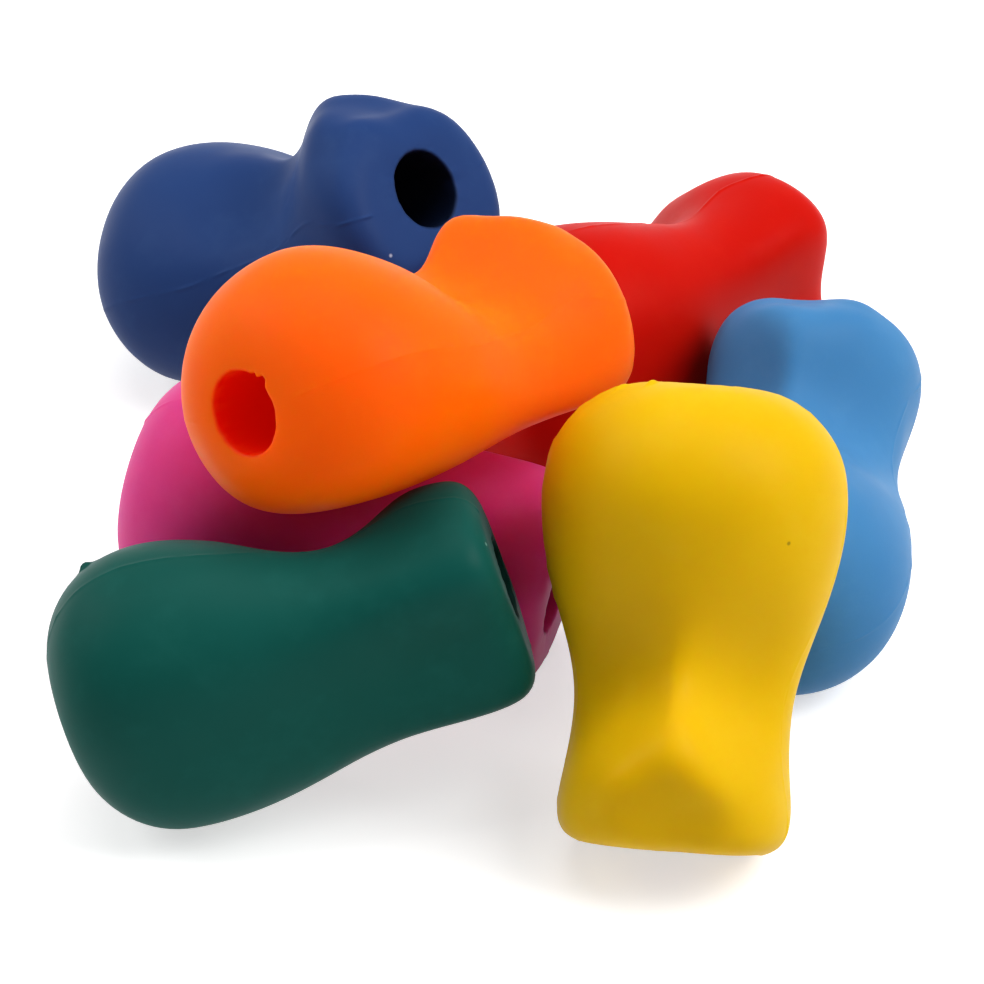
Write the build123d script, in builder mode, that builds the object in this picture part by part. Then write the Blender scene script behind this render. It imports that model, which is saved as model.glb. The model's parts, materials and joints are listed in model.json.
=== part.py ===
from build123d import *

import os
from dataclasses import astuple, dataclass
from math import cos, radians, sin

import numpy as np
from scipy.spatial import cKDTree

os.makedirs("parts", exist_ok=True)

# Seven loose pencil grips of one moulding, heaped on a table.
# A grip's own frame has the bore along Z: the bulb end that faces the eraser is at
# Z = 0, the narrow end that faces the point is at Z = LENGTH, and the crest between
# the thumb and the index finger recesses is on the +X side.
# The heap has X to the right, Y away from the viewer and Z up, with its origin on
# the table under the middle of the heap.


@dataclass(frozen=True)
class Ring:
    """Distance from the bore's axis to the skin, from the crest round to the belly, mm."""

    crest: float
    recess: float
    flank: float
    corner: float
    belly: float


@dataclass(frozen=True)
class Rest:
    """How one grip lies: angles in degrees, plan place of its middle in mm.

    heading is where the narrow end points in plan, from X towards Y, pitch is how far
    the narrow end is raised, and roll turns the crest away from straight up. comes_from
    is the side from which the grip is pushed up to the ones already there. One that
    meets none of them keeps its plan place, and only gives way to that side.
    """

    colour: str
    heading: float
    pitch: float
    roll: float
    across: float
    away: float
    comes_from: tuple
    meets: bool = True


# Sizes of one grip, mm
LENGTH = 38.0
BORE_DIAMETER = 6.9
MOUTH_LAND = 0.4
NARROW_ROUNDING = 2.6

# Places along the bore, mm, from the bulb end and from the narrow end
BULB_FROM_CAP = 8.6
SHOULDER_FROM_CAP = 16.7
WAIST_FROM_MOUTH = 12.6
GUARD_FROM_MOUTH = 6.2

# The skin at those places, and where the narrow end starts to round and ends in a face
BULB = Ring(crest=11.9, recess=12.0, flank=12.5, corner=11.5, belly=9.7)
SHOULDER = Ring(crest=9.2, recess=9.6, flank=11.4, corner=11.2, belly=9.2)
WAIST = Ring(crest=8.6, recess=7.5, flank=8.9, corner=10.0, belly=7.8)
GUARD = Ring(crest=10.3, recess=9.2, flank=9.2, corner=10.1, belly=7.1)
MOUTH = Ring(crest=7.4, recess=9.0, flank=9.5, corner=9.9, belly=6.9)
FACE = Ring(crest=4.1, recess=5.5, flank=7.0, corner=7.4, belly=4.6)

# The heap in the order in which it is laid, and the air left where two grips meet, mm
TOUCH_GAP = 0.3
HEAP = (
    Rest("magenta", -17.0, -7.4, 97.0, -12.8, -6.4, (0, 0, 1), meets=False),
    Rest("green", 7.5, 17.0, -89.0, -17.2, -26.4, (0, -1, 0)),
    Rest("red", 44.9, -4.1, -93.5, 12.6, 24.5, (0, 1, 0), meets=False),
    Rest("orange", 46.0, -13.0, -34.0, -7.4, -11.6, (0, 0, 1)),
    Rest("light_blue", 77.5, 8.0, 0.3, 24.5, 0.1, (1, -1, 0)),
    Rest("yellow", -97.0, -54.0, 2.3, 15.6, -28.4, (0, -1, 0)),
    Rest("navy", -36.0, 36.5, -8.0, -19.2, 32.6, (-0.8, 0.6, 0)),
)

# Grid of places on the skin where two grips are compared, and the grid's own coarseness
STEPS_ROUND = 48
STEPS_ALONG = 40
GRID_SPACING = 2.0

# How a grip is pushed up to the others: how far off it starts, and when it has arrived
START_OFF = 60.0
CLOSE_ENOUGH = 0.01
MOST_PUSHES = 100


def outline(ring):
    """Eight points round the bore, the same on both sides of the crest."""
    half = astuple(ring)
    whole = half + half[-2:0:-1]
    turns = [radians(360 / len(whole) * step) for step in range(len(whole))]
    return [(reach * cos(turn), reach * sin(turn)) for reach, turn in zip(whole, turns)]


def blend(inner, outer, share):
    """A ring part of the way from one ring to another."""
    return Ring(*(low + (high - low) * share for low, high in zip(astuple(inner), astuple(outer))))


# Stations of the loft: the bulb end is a dome from the flat land round the bore out to
# the bulb, and the narrow end rolls over in a quarter round, down to its flat face
land = Ring(*[BORE_DIAMETER / 2 + MOUTH_LAND] * len(astuple(BULB)))
DOME_TURNS = [radians(turn) for turn in (0, 22.5, 45, 67.5)]
ROLL_TURNS = [radians(turn) for turn in (0, 30, 60, 90)]
stations = [(BULB_FROM_CAP * (1 - cos(turn)), blend(land, BULB, sin(turn))) for turn in DOME_TURNS]
stations += [
    (BULB_FROM_CAP, BULB),
    (SHOULDER_FROM_CAP, SHOULDER),
    (LENGTH - WAIST_FROM_MOUTH, WAIST),
    (LENGTH - GUARD_FROM_MOUTH, GUARD),
]
stations += [
    (LENGTH - NARROW_ROUNDING * (1 - sin(turn)), blend(FACE, MOUTH, cos(turn))) for turn in ROLL_TURNS
]

with BuildPart() as grip:
    for height, ring in stations:
        with BuildSketch(Plane.XY.offset(height)):
            with BuildLine():
                Spline(*outline(ring), periodic=True)
            make_face()
    loft()
    skin = grip.faces().filter_by(GeomType.PLANE, reverse=True)
    with BuildSketch(Plane.XY):
        Circle(BORE_DIAMETER / 2)
    extrude(amount=LENGTH, mode=Mode.SUBTRACT)

spots = [
    (part, round_step / STEPS_ROUND, along_step / STEPS_ALONG)
    for part in skin
    for round_step in range(STEPS_ROUND)
    for along_step in range(STEPS_ALONG + 1)
]
skin_points = np.array([tuple(part.position_at(u, v)) for part, u, v in spots])
skin_normals = np.array([tuple(part.normal_at(u, v)) for part, u, v in spots])


class Laid:
    """A grip's skin where it lies."""

    def __init__(self, axes, origin):
        self.axes = axes
        self.origin = origin
        self.points = skin_points @ axes.T + origin
        self.normals = skin_normals @ axes.T
        self.tree = cKDTree(self.points)

    def depth(self, points):
        """Least height of the points over this skin, below zero inside it."""
        reach, nearest = self.tree.query(points)
        height = ((points - self.points[nearest]) * self.normals[nearest]).sum(axis=1)
        beside = np.where(np.abs(height) < reach / 2, reach, height)
        near = np.where(reach > GRID_SPACING, beside, height)
        return np.where(reach > 2 * GRID_SPACING, reach - GRID_SPACING, near).min()

    def air(self, other):
        """Least distance between two skins."""
        return min(self.depth(other.points), other.depth(self.points))


def turned(rest):
    """The grip's own X, Y and Z in the heap, as the columns of a matrix."""
    turn, tilt, spin = radians(rest.heading), radians(rest.pitch), radians(rest.roll)
    bore = np.array([cos(tilt) * cos(turn), cos(tilt) * sin(turn), sin(tilt)])
    upright = np.array([-sin(tilt) * cos(turn), -sin(tilt) * sin(turn), cos(tilt)])
    crest = upright * cos(spin) + np.cross(bore, upright) * sin(spin)
    return np.column_stack([crest, np.cross(bore, crest), bore])


def lay(rest, others):
    """Stand a grip on the table at its plan place, then push it up to the others."""
    axes = turned(rest)
    origin = np.array([rest.across, rest.away, 0.0]) - axes[:, 2] * LENGTH / 2
    origin[2] = -(skin_points @ axes.T)[:, 2].min()
    way = np.array(rest.comes_from) / np.linalg.norm(rest.comes_from)
    travel = START_OFF if rest.meets else 0.0
    for _ in range(MOST_PUSHES):
        here = Laid(axes, origin + travel * way)
        spare = min((here.air(other) for other in others), default=0) - TOUCH_GAP
        clear = spare > 0 and not rest.meets
        if not others or clear or abs(spare) < CLOSE_ENOUGH:
            break
        travel -= spare
    return here


laid = {}
for rest in HEAP:
    laid[rest.colour] = lay(rest, list(laid.values()))

# Every grip is written where it lies, measured from the table under the heap's middle
everywhere = np.concatenate([place.points for place in laid.values()])
centre = (everywhere.min(axis=0) + everywhere.max(axis=0)) / 2
centre[2] = everywhere[:, 2].min()

for colour, place in laid.items():
    crest_way, bore_way = tuple(place.axes[:, 0]), tuple(place.axes[:, 2])
    plane = Plane(tuple(place.origin - centre), x_dir=crest_way, z_dir=bore_way)
    with BuildPart(plane) as piece:
        add(grip.part)
    piece.part.label = colour + "_grip"
    export_step(piece.part, f"parts/{piece.part.label}.step")
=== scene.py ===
"""Looks of seven loose pencil grips, each one soft moulding, heaped on a white table."""

import json
import logging
from dataclasses import dataclass, field
from enum import Enum
from math import cos, radians, sin

import bpy
import numpy as np
from mathutils import Matrix, Vector

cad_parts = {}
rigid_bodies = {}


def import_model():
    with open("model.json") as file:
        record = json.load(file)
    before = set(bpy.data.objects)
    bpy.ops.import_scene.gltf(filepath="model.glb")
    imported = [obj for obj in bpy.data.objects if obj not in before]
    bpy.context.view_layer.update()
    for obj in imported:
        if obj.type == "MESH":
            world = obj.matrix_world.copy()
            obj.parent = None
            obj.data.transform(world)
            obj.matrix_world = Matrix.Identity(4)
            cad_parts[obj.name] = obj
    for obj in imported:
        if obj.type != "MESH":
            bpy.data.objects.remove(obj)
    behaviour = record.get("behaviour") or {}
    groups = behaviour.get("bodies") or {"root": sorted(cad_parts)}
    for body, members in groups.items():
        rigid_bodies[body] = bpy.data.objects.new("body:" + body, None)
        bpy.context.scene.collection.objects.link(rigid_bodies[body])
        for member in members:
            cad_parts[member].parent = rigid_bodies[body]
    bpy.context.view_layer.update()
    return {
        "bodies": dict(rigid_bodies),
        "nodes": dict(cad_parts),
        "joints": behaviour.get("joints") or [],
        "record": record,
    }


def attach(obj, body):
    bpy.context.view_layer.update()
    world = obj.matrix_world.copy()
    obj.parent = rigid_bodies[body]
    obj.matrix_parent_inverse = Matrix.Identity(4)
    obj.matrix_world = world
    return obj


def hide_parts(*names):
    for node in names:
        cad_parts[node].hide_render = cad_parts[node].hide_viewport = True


MM = 0.001
IMAGE_SIDE_PX = 984

# Nearer than this, mm, two points are one: in a copied solid, in the shell, on a ring of the
# shell, and on the edge of a bore, along it and across it
SAME_IN_SOLID = 0.001
SAME_IN_SHELL = 0.01
ON_RING = 0.001
ON_EDGE_ALONG = 0.05
ON_EDGE_ACROSS = 0.02

# The span that most values of a noise lie in
NOISE_LOW = 0.3
NOISE_HIGH = 0.7

log = logging.getLogger("pencil_grips")


class Colour(Enum):
    """The seven colours, named as the nodes of the frame are."""

    RED = "red"
    MAGENTA = "magenta"
    GREEN = "green"
    ORANGE = "orange"
    LIGHT_BLUE = "light_blue"
    YELLOW = "yellow"
    NAVY = "navy"


class Mouth(Enum):
    """The two ends of a grip's bore."""

    BULB_END = "bulb_end"
    NARROW_END = "narrow_end"


def linear(hex_colour: str) -> tuple[float, float, float, float]:
    """Turn an sRGB hex colour into linear light.

    Args:
        hex_colour: six hex digits.

    Returns:
        Red, green, blue and an alpha of one.
    """
    shares = [int(hex_colour[at : at + 2], 16) / 255 for at in (0, 2, 4)]
    light = [s / 12.92 if s <= 0.04045 else ((s + 0.055) / 1.055) ** 2.4 for s in shares]
    return (*light, 1.0)


def add_node(tree: bpy.types.NodeTree, kind: str, links: dict | None = None, **settings) -> bpy.types.Node:
    """Add a node to a material or world.

    Args:
        tree: the node tree.
        kind: the node's type name.
        links: for each input, an output to link or a value to set.
        settings: the node's own settings.

    Returns:
        The new node.
    """
    node = tree.nodes.new(kind)
    for name, value in settings.items():
        setattr(node, name, value)
    for name, value in (links or {}).items():
        if isinstance(value, bpy.types.NodeSocket):
            tree.links.new(value, node.inputs[name])
        else:
            node.inputs[name].default_value = value
    return node


def only(piece: bpy.types.Object) -> None:
    """Make one object the only selected one, and active.

    Args:
        piece: the object.
    """
    bpy.ops.object.select_all(action="DESELECT")
    piece.select_set(True)
    bpy.context.view_layer.objects.active = piece


def places(piece: bpy.types.Object) -> np.ndarray:
    """Read where a mesh's vertices are.

    Args:
        piece: the object.

    Returns:
        One row of X, Y and Z for each vertex, in metres.
    """
    flat = np.empty(len(piece.data.vertices) * 3)
    piece.data.vertices.foreach_get("co", flat)
    return flat.reshape(-1, 3)


def pick(piece: bpy.types.Object, wanted: np.ndarray) -> None:
    """Select the wanted vertices of a mesh, with the edges and faces between them.

    Args:
        piece: the object, which is left in edit mode.
        wanted: one truth value for each vertex.
    """
    mesh = piece.data
    ends = np.empty(len(mesh.edges) * 2, dtype=int)
    mesh.edges.foreach_get("vertices", ends)
    mesh.vertices.foreach_set("select", wanted)
    mesh.edges.foreach_set("select", wanted[ends.reshape(-1, 2)].all(axis=1))
    mesh.polygons.foreach_set("select", [all(wanted[v] for v in f.vertices) for f in mesh.polygons])
    bpy.ops.object.mode_set(mode="EDIT")


def done() -> None:
    """Leave edit mode."""
    bpy.ops.object.mode_set(mode="OBJECT")


def finish_with(piece: bpy.types.Object, kind: str, **settings) -> None:
    """Add a modifier to a piece and apply it.

    Args:
        piece: the object.
        kind: the modifier's type.
        settings: the modifier's settings.
    """
    only(piece)
    modifier = piece.modifiers.new(kind.lower(), kind)
    for name, value in settings.items():
        setattr(modifier, name, value)
    bpy.ops.object.modifier_apply(modifier=modifier.name)


@dataclass(frozen=True)
class Oval:
    """One ring of the skin: its place along the bore and its reach to each side, mm."""

    along: float
    crest: float
    flank: float
    belly: float

    @property
    def middle(self) -> float:
        """How far the ring's middle is off the bore, towards the crest."""
        return (self.crest - self.belly) / 2

    @property
    def depth(self) -> float:
        """Half the ring's size from crest to belly."""
        return (self.crest + self.belly) / 2

    def towards(self, other: "Oval", share: float, along: float) -> "Oval":
        """Give the ring part of the way to another one.

        Args:
            other: the ring at the far end.
            share: how far to go, from nought to one.
            along: where the new ring is, mm.

        Returns:
            The ring between.
        """
        pairs = ((self.crest, other.crest), (self.flank, other.flank), (self.belly, other.belly))
        return Oval(along, *(low + (high - low) * share for low, high in pairs))


@dataclass(frozen=True)
class Hollow:
    """A soft hollow on each side of the crest, or a swelling where its depth is below nought.

    turn is how far round from the crest its middle is, in degrees. along is its place along
    the bore, depth how deep it is and spread how far it reaches over the skin, mm.
    """

    turn: float
    along: float
    depth: float
    spread: float


@dataclass
class GripMoulding:
    """One grip in its own frame: bore along Z from the bulb end, crest on +X, sizes in mm."""

    length: float = 38.0
    bore_radius: float = 3.45
    land: float = 0.4
    bulb: Oval = Oval(8.6, 11.9, 12.5, 9.7)
    shoulder: Oval = Oval(16.7, 9.2, 11.4, 9.2)
    waist: Oval = Oval(25.4, 8.6, 8.9, 7.8)
    guard: Oval = Oval(31.8, 10.3, 9.2, 7.1)
    mouth: Oval = Oval(35.4, 7.4, 9.5, 6.9)
    face: Oval = Oval(38.0, 4.1, 7.0, 4.6)
    # How finely the shell is drawn
    columns: int = 96
    step_along: float = 1.0
    dome_steps: int = 10
    roll_steps: int = 6
    bore_steps: int = 12
    # How far the shell may be off the solid, and how its rings are evened out on it
    fit_reach: float = 4.0
    evening: float = 0.5
    evening_rounds: int = 6
    # The finger recesses, and the filled skin between the guard's crest and its corners
    recess: Hollow = Hollow(turn=43.0, along=23.8, depth=1.5, spread=8.5)
    brow: Hollow = Hollow(turn=21.0, along=34.6, depth=-0.6, spread=3.6)
    press_width: float = 1.2
    # The ridge at the mould's parting line, and the softened edges of the bore
    seam_half_width: float = 0.17
    seam_height: float = 0.07
    seam_segments: int = 2
    lip_softness: float = 0.3
    lip_segments: int = 3

    def round_ring(self, along: float, radius: float) -> Oval:
        """Give a round ring about the bore's axis."""
        return Oval(along, radius, radius, radius)

    def outer_rings(self) -> list[Oval]:
        """Give the rings of the skin.

        Returns:
            The rings from the land round the bulb end's mouth to the narrow face.
        """
        land = self.round_ring(0.0, self.bore_radius + self.land)
        rings = [land]
        for step in range(1, self.dome_steps):
            turn = radians(90 * step / self.dome_steps)
            rings.append(land.towards(self.bulb, sin(turn), self.bulb.along * (1 - cos(turn))))
        knots = [self.bulb, self.shoulder, self.waist, self.guard, self.mouth]
        for near, far in zip(knots, knots[1:]):
            count = round((far.along - near.along) / self.step_along)
            for step in range(count):
                share = step / count
                rings.append(near.towards(far, share, near.along + (far.along - near.along) * share))
        cut = self.face.along - self.mouth.along
        for step in range(self.roll_steps + 1):
            turn = radians(90 * step / self.roll_steps)
            rings.append(self.face.towards(self.mouth, cos(turn), self.length - cut * (1 - sin(turn))))
        return rings

    def bore_rings(self) -> list[Oval]:
        """Give the rings down the bore, from the narrow end's mouth to the bulb end's."""
        heights = np.linspace(self.length, 0.0, self.bore_steps + 1)
        return [self.round_ring(float(height), self.bore_radius) for height in heights]

    def shell(self) -> bpy.types.Object:
        """Extrude a circle ring by ring over the skin and back down the bore.

        Returns:
            The closed shell, with its skin and seam in vertex groups.
        """
        bpy.ops.object.select_all(action="DESELECT")
        bpy.ops.mesh.primitive_circle_add(vertices=self.columns, radius=self.bore_radius * MM)
        piece = bpy.context.object
        piece.name = "grip_moulding"
        bpy.ops.object.mode_set(mode="EDIT")
        bpy.ops.mesh.select_all(action="SELECT")
        here = self.round_ring(0.0, self.bore_radius)
        outer = self.outer_rings()
        for ring in outer + self.bore_rings():
            shift = ((ring.middle - here.middle) * MM, 0, (ring.along - here.along) * MM)
            bpy.ops.mesh.extrude_region_move(TRANSFORM_OT_translate={"value": shift})
            grow = (ring.depth / here.depth, ring.flank / here.flank, 1)
            bpy.ops.transform.resize(value=grow, center_override=(ring.middle * MM, 0, ring.along * MM))
            here = ring
        bpy.ops.mesh.select_all(action="SELECT")
        bpy.ops.mesh.remove_doubles(threshold=SAME_IN_SHELL * MM)
        bpy.ops.mesh.normals_make_consistent(inside=False)
        done()
        self.name_groups(piece, outer)
        return piece

    def name_groups(self, piece: bpy.types.Object, outer: list[Oval]) -> None:
        """Name the skin and the two parting lines down its flanks.

        Args:
            piece: the shell, before it is fitted to the solid.
            outer: the rings of the skin.
        """
        spots = places(piece) / MM
        off_bore = np.hypot(spots[:, 0], spots[:, 1]) > self.bore_radius + self.land / 2
        flank = np.zeros(len(spots), dtype=bool)
        # The parting line stops short of the land and of the narrow face
        for ring in outer[2:-1]:
            level = np.abs(spots[:, 2] - ring.along) < ON_RING
            flank |= level & (np.abs(spots[:, 0] - ring.middle) < ON_RING)
        for name, wanted in (("skin", off_bore), ("seam", flank & off_bore)):
            pick(piece, wanted)
            bpy.ops.object.vertex_group_assign_new()
            done()
            piece.vertex_groups[-1].name = name

    def members(self, piece: bpy.types.Object, name: str) -> np.ndarray:
        """Tell which vertices belong to a vertex group.

        Args:
            piece: the shell.
            name: the group's name.

        Returns:
            One truth value for each vertex.
        """
        index = piece.vertex_groups[name].index
        return np.array([any(g.group == index for g in v.groups) for v in piece.data.vertices])

    def fit(self, piece: bpy.types.Object, solid: bpy.types.Object) -> None:
        """Draw the shell onto the solid it stands for, and even out its rings.

        Args:
            piece: the shell.
            solid: a copy of the solid, in the grip's own frame.
        """
        wrap = {"target": solid, "vertex_group": "skin"}
        finish_with(
            piece,
            "SHRINKWRAP",
            wrap_method="PROJECT",
            use_negative_direction=True,
            project_limit=self.fit_reach * MM,
            **wrap,
        )
        finish_with(piece, "SHRINKWRAP", wrap_method="NEAREST_SURFACEPOINT", **wrap)
        finish_with(
            piece, "SMOOTH", factor=self.evening, iterations=self.evening_rounds, vertex_group="skin"
        )
        finish_with(piece, "SHRINKWRAP", wrap_method="NEAREST_SURFACEPOINT", **wrap)

    def press_in(self, piece: bpy.types.Object, hollow: Hollow) -> None:
        """Press a soft hollow into the skin on both sides of the crest.

        Args:
            piece: the shell.
            hollow: where it is and how deep.
        """
        skin = self.members(piece, "skin")
        for side in (1, -1):
            only(piece)
            spots = places(piece) / MM
            way = np.array([cos(radians(hollow.turn)), side * sin(radians(hollow.turn))])
            beside = spots[:, 0] * way[1] - spots[:, 1] * way[0]
            ahead = spots[:, :2] @ way > 0
            near = np.hypot(beside, spots[:, 2] - hollow.along) < self.press_width
            pick(piece, skin & ahead & near)
            bpy.ops.transform.translate(
                value=(-hollow.depth * way[0] * MM, -hollow.depth * way[1] * MM, 0),
                use_proportional_edit=True,
                use_proportional_connected=True,
                proportional_edit_falloff="SMOOTH",
                proportional_size=hollow.spread * MM,
            )
            done()

    def soften_mouths(self, piece: bpy.types.Object) -> None:
        """Round the two edges of the bore and name each as a group.

        Args:
            piece: the shell.
        """
        for mouth, along in ((Mouth.BULB_END, 0.0), (Mouth.NARROW_END, self.length)):
            only(piece)
            spots = places(piece) / MM
            out = np.hypot(spots[:, 0], spots[:, 1])
            level = np.abs(spots[:, 2] - along) < ON_EDGE_ALONG
            pick(piece, level & (np.abs(out - self.bore_radius) < ON_EDGE_ACROSS))
            bpy.ops.mesh.bevel(offset=self.lip_softness * MM, segments=self.lip_segments, affect="EDGES")
            bpy.ops.object.vertex_group_assign_new()
            done()
            piece.vertex_groups[-1].name = mouth.value

    def raise_seam(self, piece: bpy.types.Object) -> None:
        """Raise the thin ridge left where the two halves of the mould meet.

        Args:
            piece: the shell.
        """
        only(piece)
        pick(piece, self.members(piece, "seam"))
        bpy.ops.mesh.bevel(offset=self.seam_half_width * MM, segments=self.seam_segments, affect="EDGES")
        bpy.ops.mesh.select_less()
        bpy.ops.transform.shrink_fatten(value=self.seam_height * MM)
        bpy.ops.object.vertex_group_assign_new()
        done()
        piece.vertex_groups[-1].name = "ridge"

    def build(self, solid: bpy.types.Object) -> bpy.types.Object:
        """Model the grip once.

        Args:
            solid: a copy of one of the solids, in the grip's own frame.

        Returns:
            The moulding that every grip is copied from.
        """
        piece = self.shell()
        self.fit(piece, solid)
        self.press_in(piece, self.recess)
        self.press_in(piece, self.brow)
        self.soften_mouths(piece)
        self.raise_seam(piece)
        return piece


@dataclass(frozen=True)
class Clouding:
    """A cloudy pattern: the width of a cloud in mm, its finer layers and how rough they are."""

    size: float
    layers: float
    roughness: float = 0.5

    def inputs(self, own: bpy.types.NodeSocket) -> dict:
        """Give the inputs of a noise that draws it at a place on the grip, mm."""
        return {"Vector": own, "Scale": 1 / self.size, "Detail": self.layers, "Roughness": self.roughness}


@dataclass(frozen=True)
class Elastomer:
    """A soft thermoplastic elastomer, injection moulded in a blasted mould.

    The pigment goes right through, the skin is satin, and light goes a little way in, so
    thin edges look warmer than the lit skin. The bore's walls have a painted shade, a warmer
    and deeper colour than the lit skin. A painted glow in that colour keeps the shaded side
    bright, as a fluorescent pigment would.
    """

    slot: str
    body: str
    deep: str
    # Pale patches, partly bloom from being handled and partly painted sheen
    bloom_and_sheen: str
    speck: str
    # Painted shade: the deeper colour of the bore's wall, also the colour of the painted glow
    bore_shade_and_glow: str
    glow: float
    light_reach: float
    light_tint: tuple[float, float, float]
    # A painted glow: how strongly the skin gives off light in the bore's shade colour, to keep its shaded
    # side bright
    painted_glow: float = 0.0
    roughness: float = 0.44
    smoothest: float = -0.05
    roughest: float = 0.07
    ior: float = 1.48
    specular: float = 0.05
    # The drift of the pigment, the pale patches that are partly bloom from being handled and partly painted
    # sheen, the satin's unevenness and the mould's grain
    drift: Clouding = Clouding(14.0, 3.0)
    handling_and_sheen: Clouding = Clouding(5.0, 6.0, 0.65)
    satin: Clouding = Clouding(5.0, 4.0)
    grain: Clouding = Clouding(0.35, 3.0, 0.6)
    grain_depth: float = 0.012
    grain_strength: float = 0.35
    bloom_sheen_from: float = 0.52
    bloom_sheen_full: float = 0.8
    bloom_sheen_most: float = 0.16
    # Specks of dust in the skin, mm: a cell of the pattern has one if its own number is high enough
    speck_spacing: float = 7.0
    speck_radius: float = 0.16
    speck_edge: float = 0.4
    speck_most: float = 0.75
    speck_rarity: float = 0.6
    # From the bore's axis, mm: where the painted shade of the bore's wall starts at the lip, and where it is
    # full
    lip_radius: float = 3.8
    bore_shade_radius: float = 3.45

    def material(self, place: Matrix) -> bpy.types.Material:
        """Make the material of one grip.

        Args:
            place: the grip's own frame in the heap, so that the patterns lie along it.

        Returns:
            The material, on Object coordinates.
        """
        paint = bpy.data.materials.new(f"moulded_elastomer_{self.slot}")
        paint.use_nodes = True
        tree = paint.node_tree
        tree.nodes.clear()
        where = add_node(tree, "ShaderNodeTexCoord").outputs["Object"]
        own = add_node(
            tree,
            "ShaderNodeMapping",
            {
                "Vector": where,
                "Location": place.translation,
                "Rotation": place.to_euler(),
                "Scale": (MM, MM, MM),
            },
            vector_type="TEXTURE",
        ).outputs["Vector"]
        satin = add_node(tree, "ShaderNodeTexNoise", self.satin.inputs(own))
        rough = add_node(
            tree,
            "ShaderNodeMapRange",
            {
                "Value": satin.outputs["Fac"],
                "From Min": NOISE_LOW,
                "From Max": NOISE_HIGH,
                "To Min": self.roughness + self.smoothest,
                "To Max": self.roughness + self.roughest,
            },
        )
        skin = add_node(
            tree,
            "ShaderNodeBsdfPrincipled",
            {
                "Base Color": self.colour(tree, own),
                "Roughness": rough.outputs["Result"],
                "Normal": self.bump(tree, own),
                "IOR": self.ior,
                "Specular IOR Level": self.specular,
                "Subsurface Weight": self.glow,
                "Subsurface Radius": self.light_tint,
                "Subsurface Scale": self.light_reach * MM,
                # A painted glow in the colour of the bore's painted shade
                "Emission Color": linear(self.bore_shade_and_glow),
                "Emission Strength": self.painted_glow,
            },
        )
        add_node(tree, "ShaderNodeOutputMaterial", {"Surface": skin.outputs["BSDF"]})
        return paint

    def colour(self, tree: bpy.types.NodeTree, own: bpy.types.NodeSocket) -> bpy.types.NodeSocket:
        """Mix the pigment's drift, pale patches that are partly bloom and partly painted sheen, a few specks
        and the painted shade of the bore.

        Args:
            tree: the material's nodes.
            own: the place on the grip, mm.

        Returns:
            The colour.
        """
        drift = add_node(tree, "ShaderNodeTexNoise", self.drift.inputs(own))
        handling_and_sheen = add_node(tree, "ShaderNodeTexNoise", self.handling_and_sheen.inputs(own))
        rubbed_and_sheen = add_node(
            tree,
            "ShaderNodeMapRange",
            {
                "Value": handling_and_sheen.outputs["Fac"],
                "From Min": self.bloom_sheen_from,
                "From Max": self.bloom_sheen_full,
                "To Min": 0.0,
                "To Max": self.bloom_sheen_most,
            },
        )
        layers = (
            (drift.outputs["Fac"], self.deep),
            # Pale patches, partly bloom from being handled and partly painted sheen
            (rubbed_and_sheen.outputs["Result"], self.bloom_and_sheen),
            (self.on_speck(tree, own), self.speck),
            # The painted shade on the bore's wall
            (self.bore_shade_mask(tree, own), self.bore_shade_and_glow),
        )
        mixed = linear(self.body)
        for share, tone in layers:
            mixed = add_node(
                tree, "ShaderNodeMix", {"Factor": share, 6: mixed, 7: linear(tone)}, data_type="RGBA"
            ).outputs[2]
        return mixed

    def on_speck(self, tree: bpy.types.NodeTree, own: bpy.types.NodeSocket) -> bpy.types.NodeSocket:
        """Tell where a speck of dust is in the skin, drawn large enough to show.

        Args:
            tree: the material's nodes.
            own: the place on the grip, mm.

        Returns:
            How much of the speck's colour shows.
        """
        cell = add_node(tree, "ShaderNodeTexVoronoi", {"Vector": own, "Scale": 1 / self.speck_spacing})
        radius = self.speck_radius / self.speck_spacing
        near = add_node(
            tree,
            "ShaderNodeMapRange",
            {
                "Value": cell.outputs["Distance"],
                "From Min": radius * (1 + self.speck_edge),
                "From Max": radius * (1 - self.speck_edge),
                "To Min": 0.0,
                "To Max": self.speck_most,
            },
        )
        few = add_node(
            tree,
            "ShaderNodeMath",
            {0: cell.outputs["Color"], 1: self.speck_rarity},
            operation="GREATER_THAN",
        )
        return add_node(
            tree,
            "ShaderNodeMath",
            {0: near.outputs["Result"], 1: few.outputs["Value"]},
            operation="MULTIPLY",
        ).outputs["Value"]

    def bore_shade_mask(self, tree: bpy.types.NodeTree, own: bpy.types.NodeSocket) -> bpy.types.NodeSocket:
        """Tell how far inside the bore a place is, for the painted shade of its wall: a deeper colour, as
        where light has been scattered many times.

        Args:
            tree: the material's nodes.
            own: the place on the grip, mm.

        Returns:
            How much painted shade: nought on the skin and at the lips, one on the bore's wall.
        """
        across = add_node(
            tree, "ShaderNodeVectorMath", {0: own, 1: (1.0, 1.0, 0.0)}, operation="MULTIPLY"
        ).outputs["Vector"]
        off_bore = add_node(tree, "ShaderNodeVectorMath", {0: across}, operation="LENGTH").outputs["Value"]
        return add_node(
            tree,
            "ShaderNodeMapRange",
            {
                "Value": off_bore,
                "From Min": self.lip_radius,
                "From Max": self.bore_shade_radius,
                "To Min": 0.0,
                "To Max": 1.0,
            },
        ).outputs["Result"]

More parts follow.
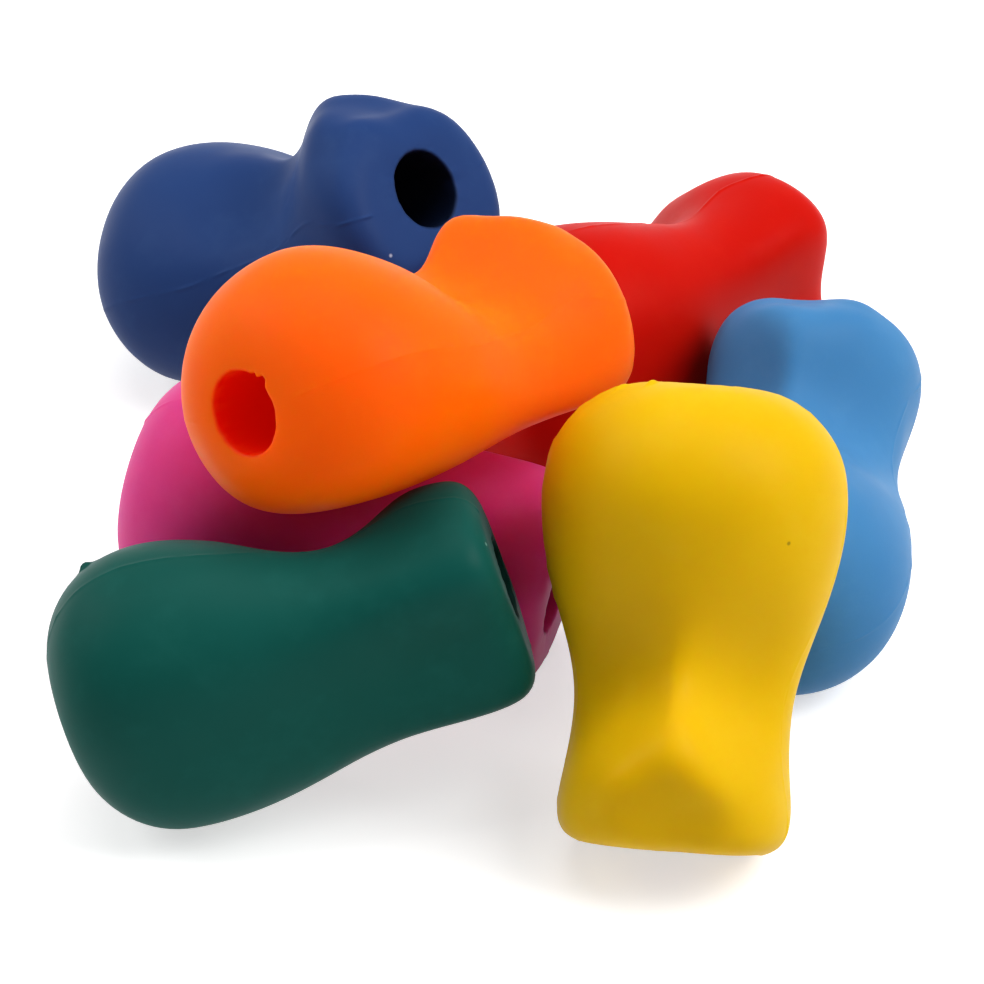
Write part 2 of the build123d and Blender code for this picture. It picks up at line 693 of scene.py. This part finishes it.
    def bump(self, tree: bpy.types.NodeTree, own: bpy.types.NodeSocket) -> bpy.types.NodeSocket:
        """Give the fine grain of the blasted mould, drawn coarse enough to show.

        Args:
            tree: the material's nodes.
            own: the place on the grip, mm.

        Returns:
            The bumped normal.
        """
        grain = add_node(tree, "ShaderNodeTexNoise", self.grain.inputs(own))
        return add_node(
            tree,
            "ShaderNodeBump",
            {
                "Height": grain.outputs["Fac"],
                "Strength": self.grain_strength,
                "Distance": self.grain_depth * MM,
            },
        ).outputs["Normal"]


@dataclass(frozen=True)
class Nub:
    """A trimmed bit of flash: its place along the bore and round from the crest, mm and degrees."""

    along: float
    turn: float
    height: float


@dataclass(frozen=True)
class Tear:
    """A nick in the bulb end's lip: its middle and half its width round from the crest, and its depth."""

    turn: float
    half_width: float
    depth: float


@dataclass
class HeapedGrip:
    """One grip of the heap: how it is turned, its finish and its own flaws.

    heading is where the narrow end points in plan, from X towards Y, pitch is how far the
    narrow end is raised, and roll turns the crest away from straight up, in degrees.
    """

    colour: Colour
    heading: float
    pitch: float
    roll: float
    finish: Elastomer
    nubs: tuple[Nub, ...] = ()
    tears: tuple[Tear, ...] = ()
    # Unevenness of the skin, the lips and the seam: depth and width of a wave, mm
    wave_depth: float = 0.05
    wave_size: float = 6.0
    lip_depth: float = 0.16
    lip_size: float = 1.0
    flash_depth: float = 0.22
    flash_size: float = 1.4
    # What counts as the lip of the bore: its radius, and how deep it goes, mm
    lip_radius: float = 4.2
    lip_reach: float = 2.2
    nub_taper: float = 0.6
    piece: bpy.types.Object | None = field(default=None, init=False)

    def place(self, frame: dict, length: float) -> Matrix:
        """Work out the grip's own frame in the heap.

        Args:
            length: the grip's length, mm.

        Returns:
            The matrix that takes the moulding to its place.
        """
        turn, tilt, spin = radians(self.heading), radians(self.pitch), radians(self.roll)
        bore = Vector((cos(tilt) * cos(turn), cos(tilt) * sin(turn), sin(tilt)))
        upright = Vector((-sin(tilt) * cos(turn), -sin(tilt) * sin(turn), cos(tilt)))
        crest = upright * cos(spin) + bore.cross(upright) * sin(spin)
        name = f"{self.colour.value}_bore"
        mount = next(m for m in frame["record"]["mounts"] if m["name"] == name)
        start = Vector(mount["pos_m"]) - bore * length * MM / 2
        turned = Matrix((crest, bore.cross(crest), bore)).transposed().to_4x4()
        return Matrix.Translation(start) @ turned

    def build(self, moulding: bpy.types.Object, place: Matrix) -> None:
        """Copy the moulding, give the copy its own flaws and lay it in the heap.

        Args:
            moulding: the grip in its own frame.
            place: the grip's own frame in the heap.
        """
        self.piece = moulding.copy()
        self.piece.data = moulding.data.copy()
        self.piece.name = f"{self.colour.value}_rubber_grip"
        bpy.context.scene.collection.objects.link(self.piece)
        for nub in self.nubs:
            self.leave_nub(nub)
        for tear in self.tears:
            self.tear_lip(tear)
        self.piece.matrix_world = place
        only(self.piece)
        bpy.ops.object.transform_apply(location=True, rotation=True, scale=True)
        finish_with(self.piece, "SUBSURF", levels=1, render_levels=1)
        self.unevenness("wave", self.wave_size, self.wave_depth, "")
        self.unevenness("flash", self.flash_size, self.flash_depth, "ridge")
        for mouth in Mouth:
            self.unevenness("lip", self.lip_size, self.lip_depth, mouth.value)
        only(self.piece)
        bpy.ops.object.shade_smooth()

    def leave_nub(self, nub: Nub) -> None:
        """Draw one face of the skin out into a small nub.

        Args:
            nub: where it is and how high.
        """
        spots = np.array([f.center for f in self.piece.data.polygons]) / MM
        out = np.hypot(spots[:, 0], spots[:, 1])
        turn = radians(nub.turn)
        goal_x, goal_y = out * cos(turn), out * sin(turn)
        gap = np.hypot(spots[:, 0] - goal_x, spots[:, 1] - goal_y) + np.abs(spots[:, 2] - nub.along)
        gap[out < self.lip_radius] = np.inf
        face = self.piece.data.polygons[int(np.argmin(gap))]
        wanted = np.zeros(len(self.piece.data.vertices), dtype=bool)
        wanted[list(face.vertices)] = True
        only(self.piece)
        pick(self.piece, wanted)
        rise = {"value": nub.height * MM}
        bpy.ops.mesh.extrude_region_shrink_fatten(TRANSFORM_OT_shrink_fatten=rise)
        tip = face.center + face.normal * nub.height * MM
        bpy.ops.transform.resize(value=(self.nub_taper,) * 3, center_override=tip)
        done()

    def tear_lip(self, tear: Tear) -> None:
        """Pull a short stretch of the bulb end's lip away from the bore.

        Args:
            tear: where it is and how deep.
        """
        spots = places(self.piece) / MM
        out = np.hypot(spots[:, 0], spots[:, 1])
        turns = np.degrees(np.arctan2(spots[:, 1], spots[:, 0]))
        near = np.abs((turns - tear.turn + 180) % 360 - 180) < tear.half_width
        only(self.piece)
        pick(self.piece, near & (out < self.lip_radius) & (spots[:, 2] < self.lip_reach))
        away = radians(tear.turn)
        shift = (tear.depth * cos(away) * MM, tear.depth * sin(away) * MM, 0)
        bpy.ops.transform.translate(value=shift)
        done()

    def unevenness(self, name: str, size: float, depth: float, group: str) -> None:
        """Press soft clouds into the skin along its normals, in and out by the same amount.

        Args:
            name: what the clouds stand for.
            size: the width of a cloud, mm.
            depth: from the lowest to the highest, mm.
            group: the vertex group to press, or nothing for all.
        """
        clouds = bpy.data.textures.new(f"{self.colour.value}_{name}", "CLOUDS")
        clouds.noise_scale = size * MM
        clouds.noise_depth = 1
        finish_with(
            self.piece,
            "DISPLACE",
            texture=clouds,
            texture_coords="LOCAL",
            strength=depth * MM,
            vertex_group=group,
        )

    def dress(self, place: Matrix) -> None:
        """Give the grip its finish and set it on its body.

        Args:
            place: the grip's own frame in the heap.
        """
        self.piece.data.materials.clear()
        self.piece.data.materials.append(self.finish.material(place))
        self.piece.vertex_groups.clear()
        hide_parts(f"{self.colour.value}_grip")
        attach(self.piece, self.colour.value)


HEAP = (
    HeapedGrip(
        Colour.MAGENTA,
        heading=-17.0,
        pitch=-7.4,
        roll=97.0,
        finish=Elastomer(
            slot="magenta_rubber",
            body="ec4f9c",
            deep="dc3a84",
            bloom_and_sheen="ee74b2",
            speck="f6c3dd",
            bore_shade_and_glow="b01a58",
            glow=0.8,
            light_reach=3.5,
            light_tint=(1.0, 0.1, 0.25),
        ),
    ),
    HeapedGrip(
        Colour.GREEN,
        heading=7.5,
        pitch=17.0,
        roll=-89.0,
        finish=Elastomer(
            slot="green_rubber",
            body="12564e",
            deep="0b4a42",
            bloom_and_sheen="2c766c",
            speck="9cc4bd",
            bore_shade_and_glow="05302a",
            glow=0.05,
            light_reach=1.0,
            light_tint=(0.3, 1.0, 0.8),
        ),
        nubs=(Nub(along=5.6, turn=59.0, height=0.5),),
    ),
    HeapedGrip(
        Colour.RED,
        heading=44.9,
        pitch=-4.1,
        roll=-93.5,
        finish=Elastomer(
            slot="red_rubber",
            body="ce1203",
            deep="bc0a02",
            bloom_and_sheen="d8301c",
            speck="f0a090",
            bore_shade_and_glow="b40300",
            glow=0.6,
            light_reach=4.0,
            light_tint=(1.0, 0.08, 0.02),
        ),
    ),
    HeapedGrip(
        Colour.ORANGE,
        heading=46.0,
        pitch=-13.0,
        roll=-34.0,
        finish=Elastomer(
            slot="orange_rubber",
            body="fe7002",
            deep="fe6202",
            bloom_and_sheen="fe8420",
            speck="9c3a02",
            bore_shade_and_glow="d80e00",
            glow=1.0,
            light_reach=9.0,
            light_tint=(1.0, 0.1, 0.01),
            # A painted glow that keeps the orange's shaded side bright
            painted_glow=0.2,
        ),
        tears=(
            Tear(turn=54.0, half_width=7.0, depth=0.6),
            Tear(turn=38.0, half_width=4.0, depth=0.3),
        ),
    ),
    HeapedGrip(
        Colour.LIGHT_BLUE,
        heading=77.5,
        pitch=8.0,
        roll=0.3,
        finish=Elastomer(
            slot="light_blue_rubber",
            body="4a88bc",
            deep="3f7bb0",
            bloom_and_sheen="68a2cf",
            speck="d6e6f0",
            bore_shade_and_glow="2a5c94",
            glow=0.2,
            light_reach=1.5,
            light_tint=(0.3, 0.6, 1.0),
        ),
    ),
    HeapedGrip(
        Colour.YELLOW,
        heading=-97.0,
        pitch=-54.0,
        roll=2.3,
        finish=Elastomer(
            slot="yellow_rubber",
            body="ecbe0a",
            deep="e2b004",
            bloom_and_sheen="f2cc38",
            speck="8a6a10",
            bore_shade_and_glow="d88c00",
            glow=0.5,
            light_reach=2.0,
            light_tint=(1.0, 0.6, 0.05),
        ),
        nubs=(
            Nub(along=0.3, turn=40.0, height=0.35),
            Nub(along=0.7, turn=62.0, height=0.3),
        ),
    ),
    HeapedGrip(
        Colour.NAVY,
        heading=-36.0,
        pitch=36.5,
        roll=-8.0,
        finish=Elastomer(
            slot="navy_rubber",
            body="28447a",
            deep="1f396d",
            bloom_and_sheen="42608f",
            speck="c0cbdc",
            bore_shade_and_glow="0a1226",
            glow=0.05,
            light_reach=1.0,
            light_tint=(0.3, 0.5, 1.0),
        ),
    ),
)


@dataclass(frozen=True)
class Laminate:
    """White laminate: matt and even, and white to the eye where the heap doesn't shade it."""

    board: str = "e8e8e8"
    lift: str = "ffffff"
    # The lift to white near the heap, and out where the lamps no longer reach, and those places in metres
    near_lift: float = 0.6
    far_lift: float = 1.0
    near: float = 0.15
    far: float = 0.6


@dataclass(frozen=True)
class SoftLamp:
    """A square soft lamp: where it hangs and its side in metres, and its power in watts."""

    name: str
    at: tuple[float, float, float]
    side: float
    watts: float


@dataclass
class Studio:
    """The white table, the soft lamps and the camera. Places in metres."""

    camera_at: tuple[float, float, float] = (-0.000771, -0.390551, 0.28825)
    camera_down: float = 35.5
    focal_px: float = 5500.0
    sensor_mm: float = 36.0
    nearest_seen: float = 0.01
    floor_side: float = 6.0
    table_top: Laminate = Laminate()
    room_colour: str = "ffffff"
    room_light: float = 0.15
    lamps: tuple[SoftLamp, ...] = (
        SoftLamp("key_from_right", (0.42, -0.10, 0.50), 0.4, 3.4),
        SoftLamp("softbox_above", (-0.05, 0.12, 0.70), 0.5, 2.0),
        SoftLamp("fill_from_left", (-0.52, 0.12, 0.38), 0.4, 1.6),
    )

    def floor(self) -> None:
        """Lay the white table, which keeps a soft shadow of the heap."""
        bpy.ops.object.select_all(action="DESELECT")
        bpy.ops.mesh.primitive_grid_add(x_subdivisions=2, y_subdivisions=2, size=self.floor_side)
        table = bpy.context.object
        table.name = "white_table"
        table.data.materials.append(self.table_finish(self.table_top))

    def table_finish(self, top: Laminate) -> bpy.types.Material:
        """Make the table's material.

        Args:
            top: its colours and lifts.

        Returns:
            A matt board as a light, and the board lifted to white to the eye.
        """
        paint = bpy.data.materials.new("white_laminate")
        paint.use_nodes = True
        tree = paint.node_tree
        tree.nodes.clear()
        board = add_node(tree, "ShaderNodeBsdfDiffuse", {"Color": linear(top.board)})
        where = add_node(tree, "ShaderNodeTexCoord").outputs["Object"]
        off = add_node(tree, "ShaderNodeVectorMath", {0: where}, operation="LENGTH").outputs["Value"]
        bright = add_node(
            tree,
            "ShaderNodeMapRange",
            {
                "Value": off,
                "From Min": top.near,
                "From Max": top.far,
                "To Min": top.near_lift,
                "To Max": top.far_lift,
            },
        ).outputs["Result"]
        lift = add_node(tree, "ShaderNodeEmission", {"Color": linear(top.lift), "Strength": bright})
        both = add_node(tree, "ShaderNodeAddShader", {0: board.outputs["BSDF"], 1: lift.outputs["Emission"]})
        mix = add_node(
            tree,
            "ShaderNodeMixShader",
            {"Fac": self.seen_directly(tree), 1: board.outputs["BSDF"], 2: both.outputs["Shader"]},
        )
        add_node(tree, "ShaderNodeOutputMaterial", {"Surface": mix.outputs["Shader"]})
        return paint

    def seen_directly(self, tree: bpy.types.NodeTree) -> bpy.types.NodeSocket:
        """Tell the camera's rays and mirrored or bent ones from the rays that light things.

        Args:
            tree: the nodes of a material or world.

        Returns:
            One for a ray that is seen, nought for one that lights.
        """
        path = add_node(tree, "ShaderNodeLightPath")
        seen = path.outputs["Is Camera Ray"]
        for kind in ("Is Glossy Ray", "Is Transmission Ray"):
            seen = add_node(
                tree, "ShaderNodeMath", {0: seen, 1: path.outputs[kind]}, operation="MAXIMUM"
            ).outputs["Value"]
        return seen

    def sky(self) -> None:
        """Make the room white to the eye and dim as a light."""
        world = bpy.data.worlds.new("white_room")
        bpy.context.scene.world = world
        world.use_nodes = True
        tree = world.node_tree
        tree.nodes.clear()
        colour = linear(self.room_colour)
        dim = add_node(tree, "ShaderNodeBackground", {"Color": colour, "Strength": self.room_light})
        white = add_node(tree, "ShaderNodeBackground", {"Color": colour, "Strength": 1.0})
        mix = add_node(
            tree,
            "ShaderNodeMixShader",
            {"Fac": self.seen_directly(tree), 1: dim.outputs["Background"], 2: white.outputs["Background"]},
        )
        add_node(tree, "ShaderNodeOutputWorld", {"Surface": mix.outputs["Shader"]})

    def hang(self, lamp: SoftLamp) -> None:
        """Hang a square soft lamp that faces the heap.

        Args:
            lamp: its place, size and power.
        """
        light = bpy.data.lights.new(lamp.name, "AREA")
        light.size = lamp.side
        light.energy = lamp.watts
        hung = bpy.data.objects.new(lamp.name, light)
        hung.location = lamp.at
        hung.rotation_euler = (-Vector(lamp.at)).to_track_quat("-Z", "Y").to_euler()
        bpy.context.scene.collection.objects.link(hung)

    def camera(self) -> None:
        """Stand the camera where the heap was seen from."""
        lens = bpy.data.cameras.new("camera")
        lens.sensor_width = self.sensor_mm
        lens.lens = self.focal_px / IMAGE_SIDE_PX * self.sensor_mm
        lens.clip_start = self.nearest_seen
        view = bpy.data.objects.new("camera", lens)
        view.location = self.camera_at
        view.rotation_euler = (radians(90 - self.camera_down), 0, 0)
        bpy.context.scene.collection.objects.link(view)
        bpy.context.scene.camera = view

    def build(self) -> None:
        """Set up the whole studio."""
        bpy.context.scene.view_settings.view_transform = "Standard"
        self.floor()
        self.sky()
        for lamp in self.lamps:
            self.hang(lamp)
        self.camera()


def own_solid(frame: dict, grip: HeapedGrip, place: Matrix) -> bpy.types.Object:
    """Copy a grip's solid, merge its triangles and bring it to the grip's own frame.

    Args:
        grip: the grip whose solid is copied.
        place: its own frame in the heap.

    Returns:
        The copy.
    """
    node = frame["nodes"][f"{grip.colour.value}_grip"]
    solid = node.copy()
    solid.data = node.data.copy()
    solid.parent = None
    solid.name = "solid_to_fit"
    bpy.context.scene.collection.objects.link(solid)
    solid.matrix_world = place.inverted()
    only(solid)
    bpy.ops.object.transform_apply(location=True, rotation=True, scale=True)
    bpy.ops.object.mode_set(mode="EDIT")
    bpy.ops.mesh.select_all(action="SELECT")
    bpy.ops.mesh.remove_doubles(threshold=SAME_IN_SOLID * MM)
    done()
    return solid


def main() -> None:
    """Load the frame, model the grip once, lay the heap and set up the studio."""
    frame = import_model()
    moulding = GripMoulding()
    master = HEAP[0]
    solid = own_solid(frame, master, master.place(frame, moulding.length))
    grip = moulding.build(solid)
    bpy.data.objects.remove(solid)
    for heaped in HEAP:
        place = heaped.place(frame, moulding.length)
        heaped.build(grip, place)
        heaped.dress(place)
        log.info("%s: %d faces", heaped.piece.name, len(heaped.piece.data.polygons))
    bpy.data.objects.remove(grip)
    Studio().build()


if __name__ == "__main__":
    logging.basicConfig(level=logging.INFO, format="%(message)s")
    main()
